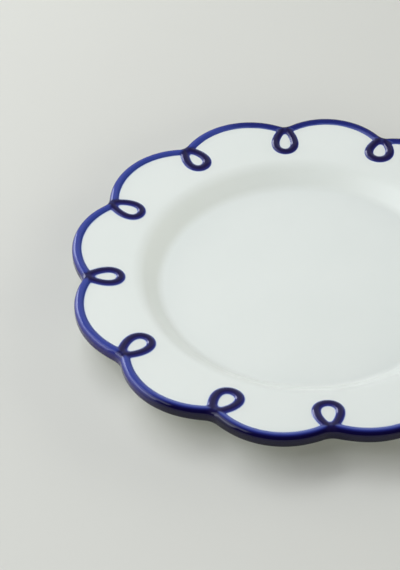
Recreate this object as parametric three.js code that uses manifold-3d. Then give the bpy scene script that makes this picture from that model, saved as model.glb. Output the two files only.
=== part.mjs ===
// A scalloped cake plate: a white glazed body on a foot ring, with a cobalt blue cord round its
// edge that curls into a loop at each notch between two scallops. Millimetres, +Z up, with the
// table at Z = 0 and the plate's axis at X = Y = 0.
import * as THREE from 'three';
import { mergeVertices } from 'three/addons/utils/BufferGeometryUtils.js';
import Module from 'manifold-3d';

// Plan of the edge. Angles are in degrees from +X, counter-clockwise seen from above.
const EDGE_RADIUS = 110; // from the axis to the outermost point of a scallop
const SCALLOP_DEPTH = 6.8; // from that point in to the notch between two scallops
const SCALLOPS = 12;
const FIRST_NOTCH = -75;

// The cord is laid by hand: how far each notch strays from even spacing, and each loop's lean.
const NOTCH_STRAY = [-0.2, 0.3, -0.4, 0.3, 1.2, 2.1, -0.4, -0.5, 0.1, 0, 0.7, 0.7];
const LOOP_LEAN = [1, 3, -4, 6, -3, 12, -5, 0.5, 1.5, 0, 11, -12];

// Section of the cord along the edge, which covers the whole thickness of the rim.
const EDGE_WIDTH = 4.4; // from the white glaze to the outer face
const EDGE_RISE = 1.2; // crest above the rim's surface
const EDGE_SHOULDER = 1.2; // from the rim's surface down to the straight part of the outer face
const EDGE_BOTTOM_ROUND = 1.4;

// A loop, measured along the middle of its cord, and the cord's section.
const LOOP_LENGTH = 15.4; // from the crossing to the tip
const LOOP_WIDTH = 9.8;
const LOOP_CORD_WIDTH = 3.9;
const LOOP_CORD_RISE = 1.3;

// Section of the body.
const WELL_RADIUS = 67.6; // to the corner between floor and wall
const WELL_DEPTH = 10.5; // from the rim's surface at the edge to the floor
const WALL_RUN = 9.4; // width of the sloping wall, seen from above
const RIM_SLOPE = 5; // the rim rises outwards
const RIM_THICKNESS = 4.2;
const FLOOR_THICKNESS = 5;
const FLOOR_BLEND = 3.5; // length of the curve on each side of a corner
const SHOULDER_BLEND = 6;

// Section of the foot ring.
const FOOT_RADIUS = 63; // to the middle of its standing face
const FOOT_HEIGHT = 3;
const FOOT_WIDTH = 4; // standing face
const FOOT_ROOT_WIDTH = 7;
const FOOT_BLEND = 0.7;

const SEAM = 0.3; // gap left between two pieces that meet

const TURN_STEPS = 72;
const SCALLOP_STEPS = 12;
const LOOP_STEPS = 10; // on each side of a loop

const { degToRad, lerp } = THREE.MathUtils;
const wasm = await Module();
wasm.setup();

// Heights and radii that follow from the sizes above.
const underside = FOOT_HEIGHT;
const floorHeight = FOOT_HEIGHT + FLOOR_THICKNESS;
const rimHeight = floorHeight + WELL_DEPTH;
const rimRadius = EDGE_RADIUS - EDGE_WIDTH;
const notchRadius = EDGE_RADIUS - SCALLOP_DEPTH;
const rimGrade = Math.tan(degToRad(RIM_SLOPE));
const rimSurface = (radius) => rimHeight + (radius - rimRadius) * rimGrade;

function notchAngle(index) {
  const turns = Math.floor(index / SCALLOPS);
  const place = index - turns * SCALLOPS;
  const even = FIRST_NOTCH + (index * 360) / SCALLOPS;
  return degToRad(even + NOTCH_STRAY[place % NOTCH_STRAY.length]);
}

// A scallop is an arc from one notch to the next that just reaches the edge radius.
function scallopAfter(index) {
  const from = notchAngle(index);
  const to = notchAngle(index + 1);
  const halfSpan = (to - from) / 2;
  const halfChord = notchRadius * Math.sin(halfSpan);
  const bulge = EDGE_RADIUS - notchRadius * Math.cos(halfSpan);
  const arcRadius = (halfChord ** 2 + bulge ** 2) / (2 * bulge);
  return { middle: (from + to) / 2, halfSpan, arcRadius, centre: EDGE_RADIUS - arcRadius };
}

// Distance from the axis to the scallop's arc, drawn in by inset, at an angle from its middle.
function scallopReach({ arcRadius, centre }, angle, inset) {
  const across = centre * Math.sin(angle);
  return centre * Math.cos(angle) + Math.sqrt((arcRadius - inset) ** 2 - across ** 2);
}

// Distance from the axis to the notch, drawn in by inset, as the mean of the two scallops there.
function notchReach(index, inset) {
  const before = scallopAfter(index - 1);
  const after = scallopAfter(index);
  const one = scallopReach(before, before.halfSpan, inset);
  const other = scallopReach(after, -after.halfSpan, inset);
  return (one + other) / 2;
}

function polar(radius, angle) {
  return new THREE.Vector2(radius * Math.cos(angle), radius * Math.sin(angle));
}

function scallopedOutline(inset) {
  const points = [];
  for (let index = 0; index < SCALLOPS; index += 1) {
    const scallop = scallopAfter(index);
    points.push(polar(notchReach(index, inset), notchAngle(index)));
    for (let step = 1; step < SCALLOP_STEPS; step += 1) {
      const angle = lerp(-scallop.halfSpan, scallop.halfSpan, step / SCALLOP_STEPS);
      points.push(polar(scallopReach(scallop, angle, inset), scallop.middle + angle));
    }
  }
  return new THREE.Shape(points);
}

function solidOf(geometry) {
  const bare = geometry.clone();
  bare.deleteAttribute('normal');
  bare.deleteAttribute('uv');
  const merged = mergeVertices(bare, 1e-4);
  const vertProperties = merged.getAttribute('position').array;
  const triVerts = new Uint32Array(merged.index.array);
  return new wasm.Manifold(new wasm.Mesh({ numProp: 3, vertProperties, triVerts }));
}

function geometryOf(solid) {
  const { vertProperties, triVerts } = solid.getMesh();
  const geometry = new THREE.BufferGeometry();
  geometry.setAttribute('position', new THREE.BufferAttribute(vertProperties, 3));
  geometry.setIndex(new THREE.BufferAttribute(triVerts, 1));
  geometry.computeVertexNormals();
  return geometry;
}

// Points through a list of corners. A corner with a blend is rounded that far on each side.
function roundedProfile(corners) {
  const path = new THREE.Path();
  corners.forEach(({ at, blend }, index) => {
    if (index === 0) {
      path.moveTo(at.x, at.y);
    } else if (!blend) {
      path.lineTo(at.x, at.y);
    } else {
      const start = corners[index - 1].at.clone().sub(at).setLength(blend).add(at);
      const end = corners[index + 1].at.clone().sub(at).setLength(blend).add(at);
      path.lineTo(start.x, start.y);
      path.quadraticCurveTo(at.x, at.y, end.x, end.y);
    }
  });
  return path.getPoints(3);
}

function corner(radius, height, blend = 0) {
  return { at: new THREE.Vector2(radius, height), blend };
}

function turned(corners) {
  const geometry = new THREE.LatheGeometry(roundedProfile(corners), TURN_STEPS);
  return geometry.rotateX(Math.PI / 2);
}

// All that lies inside the cord along the edge, from below the plate to above it.
function insideOfEdge() {
  const depth = 2 * rimHeight;
  const shape = scallopedOutline(EDGE_WIDTH + SEAM);
  return solidOf(new THREE.ExtrudeGeometry(shape, { depth, bevelEnabled: false }));
}

// The wall is as thick as the floor, and the rim's underside runs along its surface.
function bodyCorners() {
  const shoulderRadius = WELL_RADIUS + WALL_RUN;
  const shoulderHeight = rimSurface(shoulderRadius);
  const wallAngle = Math.atan2(shoulderHeight - floorHeight, WALL_RUN);
  const wallGrade = Math.tan(wallAngle);
  const underFloor = WELL_RADIUS + FLOOR_THICKNESS * Math.tan(wallAngle / 2);
  const rimUnderside = (radius) => rimSurface(radius) - RIM_THICKNESS;
  const drop = rimUnderside(underFloor) - underside;
  const underShoulder = underFloor + drop / (wallGrade - rimGrade);
  return [
    corner(0, underside),
    corner(underFloor, underside, FLOOR_BLEND),
    corner(underShoulder, rimUnderside(underShoulder), SHOULDER_BLEND),
    corner(EDGE_RADIUS, rimUnderside(EDGE_RADIUS)),
    corner(EDGE_RADIUS, rimSurface(EDGE_RADIUS)),
    corner(shoulderRadius, shoulderHeight, SHOULDER_BLEND),
    corner(WELL_RADIUS, floorHeight, FLOOR_BLEND),
    corner(0, floorHeight),
  ];
}

function footRingGeometry() {
  const top = FOOT_HEIGHT - SEAM;
  return turned([
    corner(FOOT_RADIUS - FOOT_ROOT_WIDTH / 2, top),
    corner(FOOT_RADIUS - FOOT_WIDTH / 2, 0, FOOT_BLEND),
    corner(FOOT_RADIUS + FOOT_WIDTH / 2, 0, FOOT_BLEND),
    corner(FOOT_RADIUS + FOOT_ROOT_WIDTH / 2, top),
    corner(FOOT_RADIUS - FOOT_ROOT_WIDTH / 2, top),
  ]);
}

// X is the distance in from the outer face, Y the height above the table.
function edgeSection() {
  const middle = EDGE_WIDTH / 2;
  const bottom = rimHeight - RIM_THICKNESS;
  const shoulder = rimHeight - EDGE_SHOULDER;
  const quarter = Math.PI / 2;
  const shape = new THREE.Shape();
  shape.moveTo(EDGE_WIDTH, bottom);
  shape.lineTo(EDGE_WIDTH, rimHeight);
  shape.absellipse(middle, rimHeight, middle, EDGE_RISE, 0, quarter);
  shape.absellipse(middle, shoulder, middle, EDGE_SHOULDER + EDGE_RISE, quarter, 2 * quarter);
  shape.lineTo(0, bottom + EDGE_BOTTOM_ROUND);
  shape.quadraticCurveTo(0, bottom, EDGE_BOTTOM_ROUND, bottom);
  return shape;
}

// A straight length of cord, bent along its scallop. The scallop's middle lies along +X.
function edgeCordGeometry(scallop) {
  const options = { depth: 1, steps: SCALLOP_STEPS, curveSegments: 2, bevelEnabled: false };
  const geometry = new THREE.ExtrudeGeometry(edgeSection(), options);
  const halfLength = scallop.halfSpan - SEAM / 2 / notchRadius;
  const position = geometry.getAttribute('position');
  for (let i = 0; i < position.count; i += 1) {
    const angle = lerp(-halfLength, halfLength, position.getZ(i));
    const { x, y } = polar(scallopReach(scallop, angle, position.getX(i)), angle);
    position.setXYZ(i, x, y, position.getY(i));
  }
  geometry.computeVertexNormals();
  return geometry;
}

// The part of a curve between two of its parameters.
class CurvePart extends THREE.Curve {
  constructor(whole, from, to) {
    super();
    this.whole = whole;
    this.from = from;
    this.to = to;
  }

  getPoint(t, target) {
    return this.whole.getPoint(lerp(this.from, this.to, t), target);
  }
}

// A teardrop that leaves the crossing at the origin, runs inwards along -X and comes back. Its
// tip lies at three quarters of the handles' reach, and its widest point at sqrt(3) / 6 of their
// spread on each side.
function loopPath() {
  const reach = LOOP_LENGTH / 0.75;
  const spread = LOOP_WIDTH / 2 / (Math.sqrt(3) / 6);
  return new THREE.CubicBezierCurve3(
    new THREE.Vector3(0, 0, 0),
    new THREE.Vector3(-reach, spread, 0),
    new THREE.Vector3(-reach, -spread, 0),
    new THREE.Vector3(0, 0, 0),
  );
}

// Flat underneath and round on top. Along a level path, X points down and Y to the side.
function loopSection() {
  const half = LOOP_CORD_WIDTH / 2;
  const shape = new THREE.Shape();
  shape.moveTo(0, -half);
  shape.lineTo(0, half);
  shape.absellipse(0, 0, LOOP_CORD_RISE, half, Math.PI / 2, (3 * Math.PI) / 2);
  return shape;
}

function loopSide(from, to) {
  const extrudePath = new CurvePart(loopPath(), from, to);
  const options = { steps: LOOP_STEPS, curveSegments: 3, bevelEnabled: false, extrudePath };
  return new THREE.ExtrudeGeometry(loopSection(), options);
}

// Two sides that meet at the tip and cross at the notch, laid on the rim and cut at the edge.
function loopGeometry(index, inside) {
  const crossing = notchReach(index, EDGE_WIDTH / 2);
  const sides = [loopSide(0, 0.52), loopSide(0.48, 1)].map((side) => {
    side.rotateZ(degToRad(LOOP_LEAN[index % LOOP_LEAN.length]));
    side.rotateY(-degToRad(RIM_SLOPE));
    side.translate(crossing, 0, rimSurface(crossing) + SEAM);
    side.rotateZ(notchAngle(index));
    return solidOf(side);
  });
  return geometryOf(sides[0].add(sides[1]).intersect(inside));
}

const whiteGlaze = new THREE.MeshStandardMaterial({ color: 0xe6ebe8, roughness: 0.18 });
const cobaltGlaze = new THREE.MeshStandardMaterial({ color: 0x262e78, roughness: 0.12 });
const bareClay = new THREE.MeshStandardMaterial({ color: 0xd8cfc1, roughness: 0.85 });

function named(name, geometry, material) {
  const mesh = new THREE.Mesh(geometry, material);
  mesh.name = name;
  return mesh;
}

const plate = new THREE.Group();
plate.name = 'cake_plate';
const inside = insideOfEdge();
const bodySolid = solidOf(turned(bodyCorners())).intersect(inside);
plate.add(named('plate_body', geometryOf(bodySolid), whiteGlaze));
plate.add(named('foot_ring', footRingGeometry(), bareClay));

const edge = new THREE.Group();
edge.name = 'edge';
plate.add(edge);
for (let index = 0; index < SCALLOPS; index += 1) {
  const number = String(index + 1).padStart(2, '0');
  const scallop = scallopAfter(index);
  const cord = named('edge_cord_' + number, edgeCordGeometry(scallop), cobaltGlaze);
  cord.rotation.z = scallop.middle;
  edge.add(cord);
  edge.add(named('loop_' + number, loopGeometry(index, inside), cobaltGlaze));
}

export default plate;
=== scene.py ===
"""Looks of a scalloped cake plate: a white glazed body on a foot ring, and a cobalt blue cord round
its edge that curls into a loop at each notch between two scallops. Metres, +Z up."""

import math

import bpy
import numpy as np
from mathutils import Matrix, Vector


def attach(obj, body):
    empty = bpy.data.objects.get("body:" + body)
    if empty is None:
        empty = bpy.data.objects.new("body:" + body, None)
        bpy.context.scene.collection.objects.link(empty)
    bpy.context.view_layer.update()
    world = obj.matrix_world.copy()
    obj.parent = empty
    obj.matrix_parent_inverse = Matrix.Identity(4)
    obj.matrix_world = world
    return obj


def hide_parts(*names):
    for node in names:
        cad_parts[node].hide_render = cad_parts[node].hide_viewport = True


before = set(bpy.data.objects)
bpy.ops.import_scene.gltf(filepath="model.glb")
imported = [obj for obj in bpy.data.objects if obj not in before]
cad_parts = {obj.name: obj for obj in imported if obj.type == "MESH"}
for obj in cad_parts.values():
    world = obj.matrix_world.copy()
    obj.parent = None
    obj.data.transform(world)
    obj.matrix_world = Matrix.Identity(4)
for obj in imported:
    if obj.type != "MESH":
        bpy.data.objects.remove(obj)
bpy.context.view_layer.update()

MM = 0.001

# Plan of the edge. Angles are in degrees from +X, counter-clockwise seen from above.
EDGE_RADIUS = 110 * MM
NOTCH_RADIUS = 102.5 * MM
NOTCH_ROUND = 4 * MM  # softens the corner between two scallops
SCALLOPS = 12
FIRST_NOTCH = -75
NOTCH_STRAY = [-0.2, 0.3, -0.4, 0.3, 1.2, 2.1, -0.4, -0.5, 0.1, 0, 0.7, 0.7]  # off its even place
LOOP_LEAN = [0, 3, -4, 6, -3, 12.1, -5.3, 2.9, 3.2, 2.5, 11, -11.2]  # off the line to the axis

# Section of the cord: its crest, its inner flank, and the outer face that covers the rim's edge.
CREST_INSET = 2.4 * MM  # from the outer face in to the crest
EDGE_FLANK = 2 * MM  # from the crest in to the white glaze
EDGE_RISE = 1 * MM  # crest above the rim's surface
EDGE_POWER = 3  # 2 makes the flank a parabola, more is flatter on top
SHOULDER_DROP = 2.4 * MM  # from the crest down to the straight part of the outer face
BOTTOM_ROUND = 1.6 * MM
CORD_BEAD = 1.4 * MM  # how far the cord stands below the rim's white underside
NOTCH_SAG = 0.4 * MM  # the bead hangs lower where two scallops meet
NOTCH_SAG_REACH = 5  # degrees to each side of the notch
BEAD_ROUND = 1.3 * MM  # width of the bead's inner rounding, under the rim
FRINGE_WIDTH = 0.35 * MM  # thin glaze that runs out past the flank's foot
FRINGE_GRADE = 0.3  # its slope
FRINGE_ROUND = 0.12 * MM  # softens the corner between it and the flank

# The loops, each measured along the middle of its cord.
LOOP_LENGTHS = np.array([16.5, 16.2, 15.8, 16.5, 16, 15, 17, 15.5, 16.3, 16.9, 17.4, 16.4]) * MM
LOOP_WIDTHS = np.array([10.4, 9.7, 10.1, 9.5, 9.9, 10.2, 9.4, 9.3, 9.2, 8.9, 10, 10.5]) * MM
LOOP_ROOT = 1 * MM  # from the outer face in to the crossing
LOOP_FLANK = 1.98 * MM  # half the cord's width, nearly
LOOP_FULLNESS = np.array([0.98, 1, 1.01, 0.98, 1, 0.97, 0.9, 1.01, 0.95, 0.98, 1.01, 1.07])  # shares of it
LOOP_RISE = 0.9 * MM
LOOP_POWER = 2.6
LOOP_TAIL = 0.035  # the curve's run past the crossing, as a share of its parameter
ARM_BLEND = 1.3  # softness of the corner between a loop's two arms, in flank widths
ARM_REACH = (0.5, 0.8)  # shares of the loop's length where that softness fades
LEAST_BLEND = 1e-6  # in place of no softness
ROOT_BLEND = 0.4  # softness of the corner between a loop and the edge, in flank widths
LOOP_FADE_IN = (-0.9, 0.2)  # flank widths by which a loop is nearer than the edge where it takes over
LOOP_FADE_OUT = (0.05, 0.35)  # shares of the way over the outer face where its look ends

# Section of the body and the foot ring.
WELL_RADIUS = 67.6 * MM
WELL_DEPTH = 10.5 * MM
WALL_RUN = 9.4 * MM
RIM_GRADE = math.tan(math.radians(5))
RIM_RADIUS = 105.6 * MM
RIM_THICKNESS = 4.2 * MM
FLOOR_THICKNESS = 5 * MM
FLOOR_BLEND = 2.5 * MM
SHOULDER_BLEND = 3.6 * MM
FOOT_RADIUS = 63 * MM
FOOT_HEIGHT = 3 * MM
FOOT_WIDTH = 4 * MM
FOOT_ROOT_WIDTH = 7 * MM
FOOT_BLEND = 0.9 * MM
FOOT_LET_IN = 0.3 * MM  # how far the ring reaches up into the body
GLAZE_LINE = 0.7 * MM  # the foot ring is bare clay below this height
GLAZE_FADE = 0.15 * MM
GLAZE_WAVER = 0.25 * MM
FLOOR_HEIGHT = FOOT_HEIGHT + FLOOR_THICKNESS
RIM_HEIGHT = FLOOR_HEIGHT + WELL_DEPTH

# Fineness of the meshes.
SECTOR_COLUMNS = 160  # columns of the cord from one scallop's middle to the next
TOP_RINGS = 84  # rings of the cord from inside the loops out to the crest
ROOT_RING = TOP_RINGS - 5  # the cord's hidden inner wall stands under this ring
SHOULDER_STEPS = 13
FACE_RINGS = (0.33, 0.67)  # shares of the way down the straight part of the outer face
BOTTOM_STEPS = 7
LOOP_POINTS = 240  # along the middle of a loop's cord
SUNK = 0.45 * MM  # depth at which the cord's hidden border lies under the white glaze
SUNK_END = 0.9 * SUNK  # the cord ends where it lies this deep
CORD_BASE = 0.6 * MM  # depth of the cord's hidden base
BODY_COLUMNS = 288
BODY_INSET = 2.2 * MM  # the white body ends this far inside the cord's outer face
CENTRE_RADIUS = 2 * MM  # one face fills the middle of the floor
FLAT_RADIUS = 30 * MM  # a ring on the flat floor
TOP_STEPS = 13
UNDER_STEPS = 9
RIM_RINGS = 8
FOOT_STEPS = 7

# Painted shade: the blue is darker on the sides away from the window, and on the back, a little to
# the right, it darkens sooner across the cord. Sides are degrees from +X, and a look fades in between
# two cosines of the angle from its side.
SHADE_SIDE = 0
SHADE_FADE = (-0.6, -0.4)
BACK_SHADE_SIDE = 70  # here the painted shade lies further in on the cord
BACK_SHADE_FADE = (0.2, 0.7)
BACK_SHADE_SHIFT = 4  # how much more quickly the painted shade deepens there, as a share
BACK_SHADE_DEPTH = 1.04  # the depth that it comes to
BACK_SHADE_FALL = 0.04  # and its further gain across the cord
BACK_SHADE_ON_LOOPS = 0.25  # share of that painted shade that the loops have

# Colours, as 8-bit sRGB. The blue has stops from the white glaze at 0 over the crest at 0.5 to the
# rim's underside at 1, on the window's side, on the other sides where the outer face has painted shade,
# and on the loops.
FRINGE = (0, 206, 218, 236)
LIT_SIDE_BLUE = [
    FRINGE, (0.05, 176, 190, 222), (0.07, 112, 128, 186), (0.09, 44, 56, 124), (0.18, 56, 70, 148),
    (0.55, 58, 70, 150), (0.64, 50, 48, 120), (0.71, 46, 39, 102), (0.8, 40, 32, 84), (1, 26, 20, 54)]
# Painted shade: away from the window the outer face and the rim's underside turn nearly black.
SHADED_SIDE_BLUE = [
    FRINGE, (0.06, 150, 166, 214), (0.09, 78, 92, 158), (0.29, 86, 99, 165), (0.42, 84, 97, 164),
    (0.5, 70, 82, 154), (0.515, 57, 67, 142), (0.53, 39, 46, 119), (0.55, 24, 25, 85),
    (0.57, 15, 12, 58), (0.6, 14, 9, 52), (0.68, 13, 8, 44), (0.78, 11, 7, 34), (1, 10, 7, 26)]
LOOP_BLUE = [
    FRINGE, (0.05, 172, 186, 220), (0.07, 114, 130, 190), (0.095, 58, 66, 140), (0.18, 50, 51, 120),
    (0.29, 38, 34, 83), (0.5, 30, 24, 63)]
WHITE_TONES = [(231, 236, 231), (226, 232, 227)]
FOOT_WHITE = (229, 234, 229)
CLAY_TONES = [(222, 213, 198), (205, 194, 177)]
TABLE_TONES = [(217, 218, 212), (213, 214, 208)]
TABLE_REACH = 8  # from the plate's axis to each side of the table

# The photograph's camera, by its aim, and its place round the plate in degrees.
CAMERA_AIM = Vector((-45.55, -22.11, 18.5)) * MM
CAMERA_AZIMUTH = 10.97
CAMERA_ELEVATION = 43.14
CAMERA_DISTANCE = 913.2 * MM
CAMERA_LENS = 126.3  # millimetres, as is the sensor
CAMERA_SENSOR = 36

# The lights. Their azimuths count from the camera's.
COOL = (0.98, 1, 1.05)
WARM = (1.02, 1, 0.92)
FILL_LEVEL = 0.1  # light from all round
BACKGROUND_LEVEL = 0.72  # as the camera sees it
# Soft panels that face the plate: azimuth, elevation, distance, width, height, radiance and tint.
SOFTBOXES = {
    "window_back": (-135, 55, 1.3, 1.1, 0.5, 4.4, COOL),
    "window_front": (-70, 48, 1.3, 1.1, 0.7, 2.8, COOL),
    "window_low": (-120, 15, 1.3, 0.9, 0.5, 3.7, WARM),
    "fill_back": (120, 15, 3, 2.8, 1.6, 2.8, WARM),
    "fill_front": (25, 18, 3, 4, 1.6, 1.9, WARM),
}
PANE_DISTANCE = 1.2
PANE_TINT = (0.9, 0.94, 1.1)
WINDOW_SIDE = -90
WINDOW_FAR_END = -147
WINDOW_POST = -122
WINDOW_NEAR_POST = -60
WINDOW_NEAR_END = -45
WINDOW_SILL = 0.44
WINDOW_RAIL = 0.95
WINDOW_TOP = 2.1
# Upright panes that the glazes mirror: the side they stand on and their two ends, as azimuths, their
# lowest and highest points, and their radiance.
CORD_PANES = {
    "panes_far": (WINDOW_SIDE, WINDOW_FAR_END, WINDOW_POST, WINDOW_SILL, 1.3, 7),
    "panes_far_low": (WINDOW_SIDE, WINDOW_FAR_END, WINDOW_POST, 0, WINDOW_SILL, 3),
    "panes_near": (WINDOW_SIDE, WINDOW_POST, WINDOW_NEAR_POST, WINDOW_SILL, WINDOW_RAIL, 4.8),
    "panes_near_low": (WINDOW_SIDE, WINDOW_POST, WINDOW_NEAR_POST, 0, WINDOW_SILL, 1.5),
    "panes_high": (WINDOW_SIDE, WINDOW_POST, WINDOW_NEAR_END, WINDOW_RAIL, WINDOW_TOP, 2),
}
SHEEN_PANE = (WINDOW_SIDE, WINDOW_FAR_END, WINDOW_NEAR_END, 0.5, WINDOW_TOP, 1)
WALL_PANE = (180, 140, 220, 0.2, 1.4, 0.5)


def smooth_max(one, other, width):
    """The larger of two arrays, rounded where they differ by less than width."""
    near = np.clip(1 - np.abs(one - other) / width, 0, None)
    return np.maximum(one, other) + near**2 * width / 4


def smooth_min(one, other, width):
    return -smooth_max(-one, -other, width)


def ease(low, high, value):
    """0 below low, 1 above high, and smooth between."""
    share = np.clip((value - low) / (high - low), 0, 1)
    return share * share * (3 - 2 * share)


def quarter_turn(steps):
    return np.linspace(0, math.pi / 2, steps)


def union_of_two_largest(values):
    """Joins the scallops: only the nearest two matter at any point."""
    second, first = np.sort(values, axis=0)[-2:]
    return smooth_max(first, second, NOTCH_ROUND)


def rim_surface(radius):
    return RIM_HEIGHT + (radius - RIM_RADIUS) * RIM_GRADE


def rim_underside(radius):
    return rim_surface(radius) - RIM_THICKNESS


# Plan of the scallops, as arrays with one entry for each.
notches = np.radians(FIRST_NOTCH + 360 / SCALLOPS * np.arange(SCALLOPS) + np.array(NOTCH_STRAY))
half_spans = np.diff(np.append(notches, notches[0] + 2 * math.pi)) / 2
middles = notches + half_spans
half_chords = NOTCH_RADIUS * np.sin(half_spans)
bulges = EDGE_RADIUS - NOTCH_RADIUS * np.cos(half_spans)
arc_radii = (half_chords**2 + bulges**2) / (2 * bulges)
arc_centres = EDGE_RADIUS - arc_radii

# Polar angles of the body's columns.
body_angles = np.arange(BODY_COLUMNS) * 2 * math.pi / BODY_COLUMNS


def edge_reach(angles, inset):
    """Distance from the axis to the scalloped outline, drawn in by inset, at polar angles."""
    turn = angles - middles[:, None]
    across = arc_centres[:, None] * np.sin(turn)
    room = (arc_radii[:, None] - inset) ** 2 - across**2
    reach = arc_centres[:, None] * np.cos(turn) + np.sqrt(np.clip(room, 0, None))
    return union_of_two_largest(np.where(room > 0, reach, 0))


def edge_inset(x, y):
    """Distance from points in plan to the scalloped outline, counted inwards."""
    centre_x = (arc_centres * np.cos(middles))[:, None, None]
    centre_y = (arc_centres * np.sin(middles))[:, None, None]
    return union_of_two_largest(arc_radii[:, None, None] - np.hypot(x - centre_x, y - centre_y))


def loop_path(index):
    """Points along the middle of a loop's cord in plan, and the radius at which it crosses itself."""
    t = np.linspace(-LOOP_TAIL, 1 + LOOP_TAIL, LOOP_POINTS)
    longest = 0.75  # the most that 3 t (1 - t) comes to
    widest = math.sqrt(3) / 6  # and 3 t (1 - t) (1 - 2 t)
    inwards = 3 * t * (1 - t) * (LOOP_LENGTHS[index] / longest)
    sideways = 3 * t * (1 - t) * (1 - 2 * t) * (LOOP_WIDTHS[index] / 2 / widest)
    lean = math.radians(LOOP_LEAN[index])
    crossing = edge_reach(notches[index : index + 1], LOOP_ROOT)[0]
    out = crossing - inwards * math.cos(lean) - sideways * math.sin(lean)
    side = sideways * math.cos(lean) - inwards * math.sin(lean)
    turn = notches[index]
    x = out * math.cos(turn) - side * math.sin(turn)
    y = out * math.sin(turn) + side * math.cos(turn)
    return np.stack([x, y]), crossing


def distance_to(path, x, y):
    """Least distance from points in plan to the points of a path."""
    return np.sqrt(np.min([(x - px) ** 2 + (y - py) ** 2 for px, py in path.T], axis=0))


def loop_distance(index, x, y):
    """Distance to a loop's cord in flank widths, with its two arms blended near the crossing."""
    path, crossing = loop_path(index)
    half = path.shape[1] // 2
    flank = LOOP_FLANK * LOOP_FULLNESS[index]
    one = distance_to(path[:, :half], x, y) / flank
    other = distance_to(path[:, half - 1 :], x, y) / flank
    depth = (crossing - np.hypot(x, y)) / LOOP_LENGTHS[index]
    blend = ARM_BLEND * (1 - ease(*ARM_REACH, depth))
    return smooth_min(one, other, np.maximum(blend, LEAST_BLEND))


def cord_height(flanks, crest, power):
    """Height of the cord's surface above the rim, by the distance from its middle in flanks."""
    main = crest * (1 - np.clip(flanks, 0, None) ** power)
    fringe = FRINGE_GRADE * (FRINGE_WIDTH + LOOP_FLANK * (1 - flanks))
    return np.maximum(smooth_max(main, fringe, FRINGE_ROUND), -SUNK)


def mesh_object(name, points, faces, attributes=None):
    """A smooth-shaded mesh object from points, faces and named values for the points."""
    mesh = bpy.data.meshes.new(name)
    mesh.from_pydata(points.tolist(), [], faces)
    mesh.shade_smooth()
    for key, values in (attributes or {}).items():
        layer = mesh.attributes.new(key, "FLOAT", "POINT")
        layer.data.foreach_set("value", values.astype(np.float32))
    thing = bpy.data.objects.new(name, mesh)
    bpy.context.scene.collection.objects.link(thing)
    return thing


def around_axis(radius, height, angles):
    """Points from radii and heights by column and ring, with a polar angle for each column."""
    x = radius * np.cos(angles)[:, None]
    y = radius * np.sin(angles)[:, None]
    return np.stack([x, y, height], axis=2)


def cord_angles():
    """Polar angles of the cord's columns, from the middle of one scallop to that of the next."""
    starts = np.append(middles[-1] - 2 * math.pi, middles[:-1])
    shares = np.arange(SECTOR_COLUMNS) / SECTOR_COLUMNS
    return np.concatenate([low + (high - low) * shares for low, high in zip(starts, middles)])


def cord_top(angles):
    """Rings from inside the loops out to the crest: their radius, their rise above the rim, their
    distance from the cord's middle in flanks, and how far they belong to a loop."""
    crest = edge_reach(angles, CREST_INSET)
    inner = NOTCH_RADIUS - LOOP_ROOT - LOOP_LENGTHS.max() - 2 * LOOP_FLANK
    radius = inner + (crest[:, None] - inner) * np.linspace(0, 1, TOP_RINGS)
    x = radius * np.cos(angles)[:, None]
    y = radius * np.sin(angles)[:, None]
    from_edge = (edge_inset(x, y) - CREST_INSET) / EDGE_FLANK
    sectors = enumerate(zip(np.split(x, SCALLOPS), np.split(y, SCALLOPS)))
    from_loop = np.concatenate([loop_distance(index, *plan) for index, plan in sectors])
    loopness = ease(*LOOP_FADE_IN, from_edge - from_loop)
    crest_rise = EDGE_RISE + (LOOP_RISE - EDGE_RISE) * loopness
    power = EDGE_POWER + (LOOP_POWER - EDGE_POWER) * loopness
    flanks = smooth_min(from_edge, from_loop, ROOT_BLEND)
    return radius, cord_height(flanks, crest_rise, power), flanks, loopness


def cord_outside(angles, crest_height):
    """Radius and height of the rings from the crest over the outer face and in under the rim."""
    off_notch = np.abs(angles - np.repeat(notches, SECTOR_COLUMNS))
    sag = NOTCH_SAG * (1 - ease(0, math.radians(NOTCH_SAG_REACH), off_notch))
    bottom = rim_underside(edge_reach(angles, 0)) - CORD_BEAD - sag
    shoulder = crest_height - SHOULDER_DROP
    rings = []
    for turn in quarter_turn(SHOULDER_STEPS)[1:]:
        inset = CREST_INSET * (1 - math.sin(turn))
        rings.append((inset, crest_height - SHOULDER_DROP * (1 - math.cos(turn))))
    for share in FACE_RINGS:
        rings.append((0, shoulder + (bottom + BOTTOM_ROUND - shoulder) * share))
    for turn in quarter_turn(BOTTOM_STEPS):
        inset = BOTTOM_ROUND * (1 - math.cos(turn))
        rings.append((inset, bottom + BOTTOM_ROUND * (1 - math.sin(turn))))
    for turn in quarter_turn(BOTTOM_STEPS)[1:]:
        inset = BOTTOM_ROUND + BEAD_ROUND * math.sin(turn)
        rings.append((inset, bottom + (CORD_BEAD + SUNK) * (1 - math.cos(turn))))
    radius = np.stack([edge_reach(angles, inset) for inset, _ in rings], axis=1)
    height = np.stack([z for _, z in rings], axis=1)
    return radius, height


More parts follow.
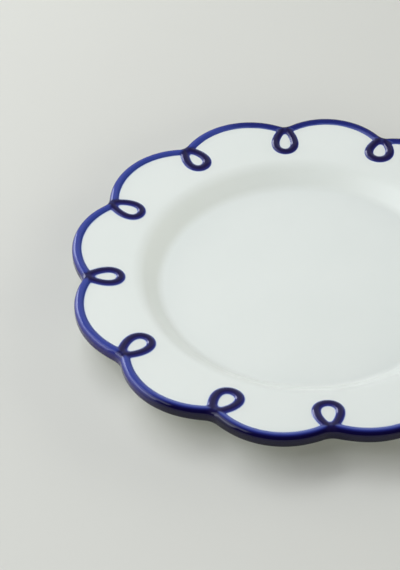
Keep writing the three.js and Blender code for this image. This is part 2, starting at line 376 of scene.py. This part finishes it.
def glaze_values(angles, flanks, loopness, fall):
    """How deep the blue glaze looks, from 0 at the white glaze over 1 on the crest to 2 under the
    rim, with painted shade added on the back, how far each point belongs to a loop, and how far the
    cord takes the painted shade of the sides away from the window."""
    foot = 1 + FRINGE_WIDTH / EDGE_FLANK
    depth = np.concatenate([np.clip(1 - flanks / foot, 0, 1), 1 + fall], axis=1)
    below = loopness[:, -1:] * (1 - ease(*LOOP_FADE_OUT, fall))
    loopness = np.concatenate([loopness, below], axis=1)
    # Painted shade on the back, a little to the right: there the blue darkens sooner across the cord.
    back_shaded_depth = np.minimum(depth * (1 + BACK_SHADE_SHIFT), BACK_SHADE_DEPTH + BACK_SHADE_FALL * depth)
    back_shade = ease(*BACK_SHADE_FADE, np.cos(angles - math.radians(BACK_SHADE_SIDE)))
    on_loops = 1 + (BACK_SHADE_ON_LOOPS - 1) * loopness
    depth += back_shade[:, None] * on_loops * np.maximum(back_shaded_depth - depth, 0)
    # Painted shade: away from the window the cord takes the darker blue.
    painted_shade = ease(*SHADE_FADE, np.cos(angles - math.radians(SHADE_SIDE)))
    return depth, loopness, np.repeat(painted_shade[:, None], depth.shape[1], axis=1)


def cord_grid():
    """The whole cord by column round the plate and ring across it: its points, the three values of
    its glaze, and which points of its top are to be made."""
    angles = cord_angles()
    top_radius, rise, flanks, loopness = cord_top(angles)
    top_height = rim_surface(top_radius) + rise
    outer_radius, outer_height = cord_outside(angles, top_height[:, -1])
    radius = np.concatenate([top_radius, outer_radius], axis=1)
    height = np.concatenate([top_height, outer_height], axis=1)
    outwards = np.diff(radius[:, TOP_RINGS - 1 :], axis=1)
    upwards = np.diff(height[:, TOP_RINGS - 1 :], axis=1)
    fall = np.cumsum(np.hypot(outwards, upwards), axis=1)
    fall /= fall[:, -1:]
    points = around_axis(radius, height, angles)
    return points, *glaze_values(angles, flanks, loopness, fall), rise > -SUNK_END


def cord_faces(cells, foot, width):
    """Faces of a cord's body, but for its two ends. A column has width points: those of the rings,
    the foot of the hidden wall, and the base under the rings up to that wall."""
    base = foot + 1
    faces = []
    for i, row in enumerate(cells):
        a, b = i * width, (i + 1) * width
        for j, filled in enumerate(row):
            if filled:
                faces.append((a + j, a + j + 1, b + j + 1, b + j))
            if filled and j < ROOT_RING:
                faces.append((a + base + j, b + base + j, b + base + j + 1, a + base + j + 1))
            if filled and j <= ROOT_RING and not (j and row[j - 1]):
                faces.append((a + j, b + j, b + base + j, a + base + j))
            if filled and j < ROOT_RING and not row[j + 1]:
                faces.append((a + j + 1, a + base + j + 1, b + base + j + 1, b + j + 1))
            if i and j < ROOT_RING and filled != cells[i - 1, j]:
                side = (a + j, a + base + j, a + base + j + 1, a + j + 1)
                faces.append(side if filled else side[::-1])
        for j in range(TOP_RINGS - 1, foot):
            faces.append((a + j, a + j + 1, b + j + 1, b + j))
        faces.append((a + foot, a + base + ROOT_RING, b + base + ROOT_RING, b + foot))
    return faces


def cord_ends(cells, foot, width):
    """Outlines of a cord's two ends, by the points of its first and last columns."""
    base = foot + 1
    outlines = []
    for column, row in ((0, cells[0]), (len(cells), cells[-1])):
        first = int(np.argmax(row))
        outline = [*range(first, base), *range(base + ROOT_RING, base + first - 1, -1)]
        outlines.append([column * width + j for j in (outline if column else outline[::-1])])
    return outlines


def with_hidden(values, rings, points):
    """Values by column and ring in one row, with 1 for further rings, and for points at the end."""
    columns = np.pad(values, ((0, 0), (0, rings)), constant_values=1)
    return np.concatenate([columns.ravel(), np.ones(points)])


def cord_piece(index, grid):
    """One loop with half a scallop on each side of it, as a closed body."""
    columns = np.arange(index * SECTOR_COLUMNS, (index + 1) * SECTOR_COLUMNS + 1)
    own = [np.take(values, columns, axis=0, mode="wrap") for values in grid]
    points, depth, loopness, painted_shade, made = own
    cells = made[:-1, :-1] | made[1:, :-1] | made[:-1, 1:] | made[1:, 1:]
    cells[:, ROOT_RING:] = True

    base = points[:, : ROOT_RING + 1].copy()
    base[:, :, 2] = rim_surface(np.hypot(base[:, :, 0], base[:, :, 1])) - CORD_BASE
    wall_foot = points[:, ROOT_RING : ROOT_RING + 1].copy()
    wall_foot[:, :, 2] = points[:, -1:, 2]
    closed = np.concatenate([points, wall_foot, base], axis=1)
    rings, width = points.shape[1], closed.shape[1]
    faces = cord_faces(cells, rings, width)

    # The flat ends have points of their own, so that they don't bend the glaze's smooth shading.
    flat = closed.reshape(-1, 3)
    ends = cord_ends(cells, rings, width)
    start = len(flat)
    for outline in ends:
        faces.append(list(range(start, start + len(outline))))
        start += len(outline)
    end_points = flat[np.concatenate(ends)]
    flat = np.concatenate([flat, end_points])

    used = np.unique(np.concatenate(faces))
    renumber = np.zeros(len(flat), int)
    renumber[used] = np.arange(len(used))
    faces = [renumber[list(face)].tolist() for face in faces]
    attributes = {}
    for key, values in (("depth", depth), ("loopness", loopness), ("painted_shade", painted_shade)):
        attributes[key] = with_hidden(values, width - rings, len(end_points))[used]
    return mesh_object(f"cord_{index + 1:02d}", flat[used], faces, attributes)


def rounded(corners, steps):
    """Points through corners (radius, height, blend), each rounded over its blend on both sides."""
    points = []
    for index, (radius, height, blend) in enumerate(corners):
        here = np.array([radius, height])
        if not blend:
            points.append(here)
            continue
        ends = []
        for near in (corners[index - 1], corners[index + 1]):
            away = np.array(near[:2]) - here
            ends.append(here + away / np.linalg.norm(away) * blend)
        for t in np.linspace(0, 1, steps):
            points.append((1 - t) ** 2 * ends[0] + 2 * t * (1 - t) * here + t * t * ends[1])
    return np.array(points)


def ring_faces(columns, rings, closed):
    """Quads between neighbouring rings of a turned surface, columns running round the axis."""
    faces = []
    for i in range(columns):
        a, b = i * rings, (i + 1) % columns * rings
        for j in range(rings - (0 if closed else 1)):
            k = (j + 1) % rings
            faces.append((a + j, b + j, b + k, a + k))
    return faces


def body_side(rim, level, floor_end, shoulder, steps, outline):
    """Radius and height of the rings on one side of the body: its floor at a level, its wall, and
    its rim out to the outline, by the function for its height."""
    rim_start = shoulder + SHOULDER_BLEND
    section = rounded([
        (CENTRE_RADIUS, level, 0),
        (FLAT_RADIUS, level, 0),
        (floor_end, level, FLOOR_BLEND),
        (shoulder, rim(shoulder), SHOULDER_BLEND),
        (rim_start, rim(rim_start), 0),
    ], steps)
    radius = [np.full_like(outline, r) for r, _ in section]
    height = [np.full_like(outline, z) for _, z in section]
    for share in np.linspace(0, 1, RIM_RINGS + 1)[1:]:
        radius.append(rim_start + (outline - rim_start) * share)
        height.append(rim(radius[-1]))
    return radius, height


def body_piece():
    """The white body: floor, wall and rim, out to a hidden edge inside the cord."""
    shoulder = WELL_RADIUS + WALL_RUN
    wall_angle = math.atan2(rim_surface(shoulder) - FLOOR_HEIGHT, WALL_RUN)
    under_floor = WELL_RADIUS + FLOOR_THICKNESS * math.tan(wall_angle / 2)
    drop = rim_underside(under_floor) - FOOT_HEIGHT
    under_shoulder = under_floor + drop / (math.tan(wall_angle) - RIM_GRADE)
    hidden = edge_reach(body_angles, BODY_INSET)
    under_radius, under_height = body_side(
        rim_underside, FOOT_HEIGHT, under_floor, under_shoulder, UNDER_STEPS, hidden)
    top_radius, top_height = body_side(
        rim_surface, FLOOR_HEIGHT, WELL_RADIUS, shoulder, TOP_STEPS, hidden)

    radius = np.stack(under_radius + top_radius[::-1], axis=1)
    height = np.stack(under_height + top_height[::-1], axis=1)
    rings = radius.shape[1]
    faces = ring_faces(BODY_COLUMNS, rings, False)
    faces.append([i * rings for i in range(BODY_COLUMNS)][::-1])
    faces.append([i * rings + rings - 1 for i in range(BODY_COLUMNS)])
    return mesh_object("glazed_body", around_axis(radius, height, body_angles).reshape(-1, 3), faces)


def foot_piece():
    """The ring that the plate stands on, let into the body's underside."""
    top = FOOT_HEIGHT + FOOT_LET_IN
    section = rounded([
        (FOOT_RADIUS - FOOT_ROOT_WIDTH / 2, top, 0),
        (FOOT_RADIUS - FOOT_WIDTH / 2, 0, FOOT_BLEND),
        (FOOT_RADIUS + FOOT_WIDTH / 2, 0, FOOT_BLEND),
        (FOOT_RADIUS + FOOT_ROOT_WIDTH / 2, top, 0),
    ], FOOT_STEPS)
    radius, height = (np.tile(values, (BODY_COLUMNS, 1)) for values in section.T)
    faces = ring_faces(BODY_COLUMNS, len(section), True)
    return mesh_object("standing_ring", around_axis(radius, height, body_angles).reshape(-1, 3), faces)


def linear(red, green, blue):
    """A colour given as 8-bit sRGB, as the linear RGBA that a shader takes."""
    shares = [value / 255 for value in (red, green, blue)]
    return (*[s / 12.92 if s <= 0.04045 else ((s + 0.055) / 1.055) ** 2.4 for s in shares], 1)


def add(tree, kind, inputs=None, **settings):
    """A node with its settings, and its inputs set to values or linked to sockets."""
    node = tree.nodes.new(kind)
    for key, value in settings.items():
        setattr(node, key, value)
    for key, value in (inputs or {}).items():
        if isinstance(value, bpy.types.NodeSocket):
            tree.links.new(value, node.inputs[key])
        else:
            node.inputs[key].default_value = value
    return node


def new_material(name):
    """A material, and its node tree, emptied."""
    material = bpy.data.materials.new(name)
    material.use_nodes = True
    material.node_tree.nodes.clear()
    return material, material.node_tree


def surface(tree, inputs):
    """A material's shader, linked to its output."""
    shader = add(tree, "ShaderNodeBsdfPrincipled", inputs)
    add(tree, "ShaderNodeOutputMaterial", {"Surface": shader.outputs["BSDF"]})


def object_place(tree):
    return add(tree, "ShaderNodeTexCoord").outputs["Object"]


def noise(tree, scale, detail=2):
    """Noise over the plate, scale being its waves in a metre."""
    inputs = {"Vector": object_place(tree), "Scale": scale, "Detail": detail}
    return add(tree, "ShaderNodeTexNoise", inputs).outputs["Fac"]


def bumps(tree, height, strength, distance):
    """A normal that a height disturbs."""
    inputs = {"Height": height, "Strength": strength, "Distance": distance}
    return add(tree, "ShaderNodeBump", inputs).outputs["Normal"]


def ranged(tree, value, low, high):
    inputs = {"Value": value, "To Min": low, "To Max": high}
    return add(tree, "ShaderNodeMapRange", inputs).outputs["Result"]


def mixed(tree, share, one, other):
    inputs = {"Factor": share, "A": one, "B": other}
    return add(tree, "ShaderNodeMix", inputs, data_type="RGBA").outputs["Result"]


def mottled(tree, share, tones):
    """A colour between two tones."""
    return mixed(tree, share, *[linear(*tone) for tone in tones])


def ramp(tree, value, stops):
    """A colour ramp with stops (place, red, green, blue)."""
    node = add(tree, "ShaderNodeValToRGB", {"Fac": value})
    elements = node.color_ramp.elements
    while len(elements) < len(stops):
        elements.new(0.5)
    for element, (place, *colour) in zip(elements, stops):
        element.position = place
        element.color = linear(*colour)
    return node.outputs["Color"]


def white_glaze():
    material, tree = new_material("white_glaze")
    surface(tree, {
        "Base Color": mottled(tree, noise(tree, 30), WHITE_TONES),
        "Roughness": ranged(tree, noise(tree, 90), 0.2, 0.28),
        "Specular IOR Level": 0.36,
        "Normal": bumps(tree, noise(tree, 60), 0.15, 0.4 * MM),
    })
    return material


def cobalt_glaze():
    """A pale blue fringe, cobalt where the glaze is thin, dark on the thick loops, and painted shade
    that turns the cord's outer face nearly black on the sides away from the window.
    """
    material, tree = new_material("cobalt_glaze")
    depth, loopness, painted_shade = (
        add(tree, "ShaderNodeAttribute", attribute_name=name).outputs["Fac"]
        for name in ("depth", "loopness", "painted_shade"))
    half = add(tree, "ShaderNodeMath", {0: depth, 1: 0.5}, operation="MULTIPLY").outputs["Value"]
    lit, shaded, loop = (ramp(tree, half, stops) for stops in (LIT_SIDE_BLUE, SHADED_SIDE_BLUE, LOOP_BLUE))
    surface(tree, {
        # The mix by side is painted shade: the cord is darker away from the window.
        "Base Color": mixed(tree, loopness, mixed(tree, painted_shade, lit, shaded), loop),
        "Roughness": ranged(tree, noise(tree, 140), 0.06, 0.1),
        "Specular IOR Level": 0.31,
        "Normal": bumps(tree, noise(tree, 180), 0.2, 0.3 * MM),
    })
    return material


def bare_clay():
    """Clay on the face that the plate stands on, with white glaze above a wavering line."""
    material, tree = new_material("bare_clay")
    height = add(tree, "ShaderNodeSeparateXYZ", {"Vector": object_place(tree)}).outputs["Z"]
    waver = ranged(tree, noise(tree, 90), -GLAZE_WAVER, GLAZE_WAVER)
    level = add(tree, "ShaderNodeMath", {0: height, 1: waver}, operation="ADD").outputs["Value"]
    line = {"Value": level, "From Min": GLAZE_LINE, "From Max": GLAZE_LINE + GLAZE_FADE}
    glazed = add(tree, "ShaderNodeMapRange", line).outputs["Result"]
    clay = mottled(tree, noise(tree, 900, 4), CLAY_TONES)
    surface(tree, {
        "Base Color": mixed(tree, glazed, clay, linear(*FOOT_WHITE)),
        "Roughness": ranged(tree, glazed, 0.85, 0.25),
        "Normal": bumps(tree, noise(tree, 2500, 4), 0.4, 0.1 * MM),
    })
    return material


def floor():
    material, tree = new_material("floor")
    colour = mottled(tree, noise(tree, 6), TABLE_TONES)
    surface(tree, {"Base Color": colour, "Roughness": 0.8, "Specular IOR Level": 0})
    corners = np.array([(-1, -1, 0), (1, -1, 0), (1, 1, 0), (-1, 1, 0)], float) * TABLE_REACH
    ground = mesh_object("floor", corners, [(0, 1, 2, 3)])
    ground.data.materials.append(material)


def place_on_sphere(azimuth, elevation, distance):
    """A point round the plate. Azimuth 0 is towards -Y, and it grows towards +X."""
    a, e = math.radians(azimuth), math.radians(elevation)
    return Vector((math.sin(a) * math.cos(e), -math.cos(a) * math.cos(e), math.sin(e))) * distance


def panel(name, place, away, width, height, radiance, tint):
    """A panel of light at a place, with its back to the direction called away."""
    lamp = bpy.data.lights.new(name, "AREA")
    lamp.shape = "RECTANGLE"
    lamp.size, lamp.size_y = width, height
    lamp.energy = radiance * math.pi * width * height
    lamp.color = tint
    thing = bpy.data.objects.new(name, lamp)
    thing.location = place
    thing.rotation_euler = away.to_track_quat("Z", "Y").to_euler()
    bpy.context.scene.collection.objects.link(thing)
    return thing


def softbox(name, azimuth, elevation, distance, width, height, radiance, tint):
    """A panel that faces the plate and isn't mirrored."""
    place = place_on_sphere(CAMERA_AZIMUTH + azimuth, elevation, distance)
    panel(name, place, place, width, height, radiance, tint).visible_glossy = False


def pane(name, side, start, end, low, high, radiance, receivers=None):
    """A panel that is only mirrored, by everything or by the receivers."""
    away = place_on_sphere(CAMERA_AZIMUTH + side, 0, 1)
    along = Vector((-away.y, away.x, 0))
    left, right = (PANE_DISTANCE * math.tan(math.radians(a - side)) for a in (start, end))
    place = away * PANE_DISTANCE + along * (left + right) / 2
    place.z = (low + high) / 2
    thing = panel(name, place, away, right - left, high - low, radiance, PANE_TINT)
    thing.visible_diffuse = False
    thing.light_linking.receiver_collection = receivers


def light(cords, whites):
    """A window on the left, a low fill on the right and a little light from all round, and the panes
    of the window and the pale wall behind as the glazes mirror them."""
    for name, values in SOFTBOXES.items():
        softbox(name, *values)
    for name, values in CORD_PANES.items():
        pane(name, *values, cords)
    pane("panes_sheen", *SHEEN_PANE, whites)
    pane("wall", *WALL_PANE)
    world = bpy.data.worlds.new("studio")
    bpy.context.scene.world = world
    world.cycles_visibility.glossy = False
    world.use_nodes = True
    tree = world.node_tree
    tree.nodes.clear()
    seen = add(tree, "ShaderNodeLightPath").outputs["Is Camera Ray"]
    strength = ranged(tree, seen, FILL_LEVEL, BACKGROUND_LEVEL)
    fill = add(tree, "ShaderNodeBackground", {"Color": (1, 1, 1, 1), "Strength": strength})
    add(tree, "ShaderNodeOutputWorld", {"Surface": fill.outputs["Background"]})


def camera():
    lens = bpy.data.cameras.new("camera")
    lens.lens = CAMERA_LENS
    lens.sensor_width = CAMERA_SENSOR
    thing = bpy.data.objects.new("camera", lens)
    back = place_on_sphere(CAMERA_AZIMUTH, CAMERA_ELEVATION, CAMERA_DISTANCE)
    thing.location = CAMERA_AIM + back
    thing.rotation_mode = "QUATERNION"
    thing.rotation_quaternion = (-back).to_track_quat("-Z", "Y")
    bpy.context.scene.collection.objects.link(thing)
    bpy.context.scene.camera = thing


def dress(piece, material, slot, *nodes):
    piece.data.materials.append(material)
    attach(piece, "root")
    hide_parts(*nodes)


bpy.context.scene.view_settings.view_transform = "Standard"
camera()
floor()
cords = bpy.data.collections.new("cords")
whites = bpy.data.collections.new("whites")
body, foot = body_piece(), foot_piece()
whites.objects.link(body)
whites.objects.link(foot)
dress(body, white_glaze(), "white_glaze", "plate_body")
dress(foot, bare_clay(), "bare_clay", "foot_ring")
grid = cord_grid()
blue = cobalt_glaze()
for index in range(SCALLOPS):
    number = f"{index + 1:02d}"
    cord = cord_piece(index, grid)
    cords.objects.link(cord)
    dress(cord, blue, "cobalt_glaze", "loop_" + number, "edge_cord_" + number)
light(cords, whites)
